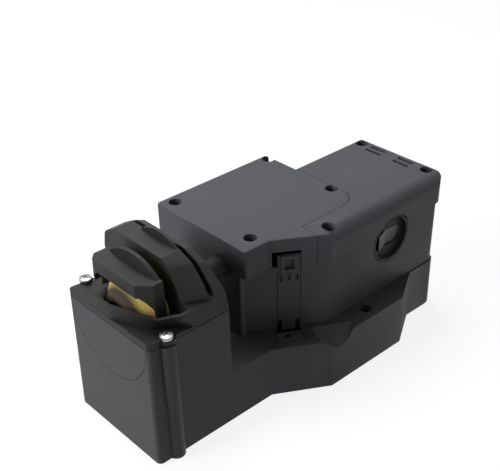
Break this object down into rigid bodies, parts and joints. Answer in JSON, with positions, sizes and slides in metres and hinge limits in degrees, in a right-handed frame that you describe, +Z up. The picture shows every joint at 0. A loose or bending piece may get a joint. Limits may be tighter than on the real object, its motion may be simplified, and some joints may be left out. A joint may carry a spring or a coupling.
{
  "type": "electric knife sharpener",
  "caption": "Motor-driven bench sharpener for kitchen knives: abrasive wheels under slotted guards on a tower, a platform with a dish, and a motor housing with a latch and a rocker switch.",
  "frame": {"origin": "middle of the whole outline at table height", "axes": "+X from the grinding tower towards the motor, +Y away from the user, +Z up"},
  "size_m": [0.2326, 0.1153, 0.117],
  "materials": {
    "black_plastic": "finely textured matte black moulding",
    "inner_plastic": "matte black",
    "bearing_steel": "ground steel",
    "abrasive": "pale mustard abrasive compound",
    "aluminium": "die cast, satin",
    "coarse_abrasive": "dull tan abrasive compound",
    "zinc_steel": "bright zinc plated",
    "rubber": "matte black",
    "laminated_steel": "stacked laminations",
    "gloss_plastic": "gloss black",
    "black_steel": "black oxide"
  },
  "bodies": {
    "housing": {"base_housing": "black_plastic", "bottom_plate": "inner_plastic", "head_cap": "black_plastic", "inner_guard": "black_plastic", "end_cover": "black_plastic", "drive_housing": "black_plastic", "middle_cover": "black_plastic", "motor_cover": "black_plastic", "drive_belt": "rubber", "shaft_sleeve": "inner_plastic", "end_bearing": "bearing_steel", "tower_bearing": "bearing_steel", "drive_bearing": "bearing_steel", "stator_core": "laminated_steel", "front_bell": "aluminium", "rear_bell": "aluminium", "front_saddle": "inner_plastic", "rear_saddle": "inner_plastic", "run_capacitor": "aluminium", "capacitor_clip": "inner_plastic", "latch_pin": "bearing_steel", "latch_spring": "bearing_steel", "latch_keeper": "black_plastic", "switch_bezel": "inner_plastic", "switch_body": "inner_plastic", "power_inlet": "gloss_plastic", "foot_1": "rubber", "foot_2": "rubber", "foot_3": "rubber", "foot_4": "rubber", "head_screw_1": "zinc_steel", "head_screw_2": "zinc_steel", "middle_cover_screw_1": "black_steel", "middle_cover_screw_2": "black_steel", "middle_cover_screw_3": "black_steel", "middle_cover_screw_4": "black_steel", "motor_cover_screw_1": "black_steel", "motor_cover_screw_2": "black_steel", "motor_cover_screw_3": "black_steel", "plate_screw_1": "black_steel", "plate_screw_2": "black_steel", "plate_screw_3": "black_steel", "plate_screw_4": "black_steel", "plate_screw_5": "black_steel", "platform_screw": "black_steel"},
    "wheel_rotor": {"wheel_shaft": "bearing_steel", "fine_wheel": "abrasive", "wheel_spacer": "aluminium", "coarse_wheel": "coarse_abrasive", "shaft_nut": "zinc_steel", "wheel_pulley": "aluminium"},
    "motor_rotor": {"motor_shaft": "bearing_steel", "rotor_core": "laminated_steel", "motor_pulley": "aluminium", "cooling_fan": "inner_plastic"},
    "rocker": {"switch_rocker": "gloss_plastic"},
    "latch": {"latch_lever": "black_plastic"}
  },
  "joints": [
    {"name": "wheel_spin", "type": "hinge", "parent": "housing", "child": "wheel_rotor", "pos_m": [-0.0563, -0.0001, 0.078], "axis": [1, 0, 0], "continuous": true},
    {"name": "motor_spin", "type": "hinge", "parent": "housing", "child": "motor_rotor", "pos_m": [0.0597, -0.0021, 0.044], "axis": [1, 0, 0], "continuous": true},
    {"name": "switch_rock", "type": "hinge", "parent": "housing", "child": "rocker", "pos_m": [0.0677, -0.0338, 0.0685], "axis": [0, 0, 1], "range_deg": [-14, 0]},
    {"name": "latch_press", "type": "hinge", "parent": "housing", "child": "latch", "pos_m": [-0.00497, -0.02311, 0.06], "axis": [-0.8544, 0.5197, 0], "range_deg": [0, 6], "stiffness_Nm_per_rad": 0.08}
  ],
  "couplings": [
    {"joint": "wheel_spin", "follows": "motor_spin", "ratio": 0.7692}
  ]
}
